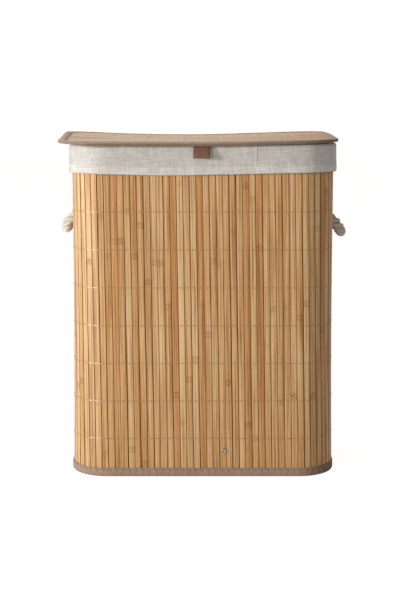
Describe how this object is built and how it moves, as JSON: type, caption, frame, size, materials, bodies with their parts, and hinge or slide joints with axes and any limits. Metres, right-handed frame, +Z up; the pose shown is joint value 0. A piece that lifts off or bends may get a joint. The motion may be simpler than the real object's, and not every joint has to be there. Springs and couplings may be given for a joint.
{
  "type": "laundry hamper with lid",
  "caption": "Upright rectangular bamboo slat laundry hamper with rounded corners, hinged slat lid, cloth liner folded over the rim, pull tab and side rope handles.",
  "frame": {"origin": "centre of the base, on the floor", "axes": "+Z up, -Y towards the front with the pull tab, +X to the right seen from the front"},
  "size_m": [0.4573, 0.3185, 0.5087],
  "materials": {
    "bamboo": "lightly lacquered slats",
    "backing_cloth": "non-woven cloth",
    "cotton_thread": "cotton thread",
    "taupe_cloth": "plain woven cloth",
    "linen_cloth": "linen-look weave",
    "steel": "plain steel",
    "fibreboard": "pressed fibreboard",
    "brown_cloth": "plain woven cloth",
    "cotton_rope": "three-strand twisted rope"
  },
  "bodies": {
    "basket": {"front_slats": "bamboo", "rear_slats": "bamboo", "left_slats": "bamboo", "right_slats": "bamboo", "front_left_corner_slats": "bamboo", "front_right_corner_slats": "bamboo", "rear_left_corner_slats": "bamboo", "rear_right_corner_slats": "bamboo", "wall_backing": "backing_cloth", "weaving_threads": "cotton_thread", "bottom_binding": "taupe_cloth", "top_binding": "taupe_cloth", "rim_hoop": "steel", "base_cloth": "backing_cloth", "base_board": "fibreboard", "base_tab": "taupe_cloth", "base_rivet": "steel", "rivet_washer": "steel", "liner_bag": "linen_cloth", "liner_cuff": "linen_cloth", "left_rope_eyelets": "steel", "left_rope_ends": "cotton_rope", "right_rope_eyelets": "steel", "right_rope_ends": "cotton_rope", "hinge_tape_lower": "taupe_cloth"},
    "lid": {"lid_slats": "bamboo", "lid_backing": "backing_cloth", "lid_threads": "cotton_thread", "lid_binding": "taupe_cloth", "hinge_tape_upper": "taupe_cloth"},
    "pull_tab": {"pull_tab": "brown_cloth"},
    "left_handle": {"left_rope_handle": "cotton_rope"},
    "right_handle": {"right_rope_handle": "cotton_rope"}
  },
  "joints": [
    {"name": "lid_hinge", "type": "hinge", "parent": "basket", "child": "lid", "pos_m": [0, 0.1565, 0.4997], "axis": [-1, 0, 0], "range_deg": [0, 200]},
    {"name": "pull_tab_swing", "type": "hinge", "parent": "lid", "child": "pull_tab", "pos_m": [-0.002, -0.159, 0.4985], "axis": [-1, 0, 0], "range_deg": [-4, 80]},
    {"name": "left_handle_swing", "type": "hinge", "parent": "basket", "child": "left_handle", "pos_m": [-0.2076, 0, 0.384], "axis": [0, 1, 0], "range_deg": [-23, 155]},
    {"name": "right_handle_swing", "type": "hinge", "parent": "basket", "child": "right_handle", "pos_m": [0.2076, 0, 0.378], "axis": [0, -1, 0], "range_deg": [-32, 146]}
  ]
}
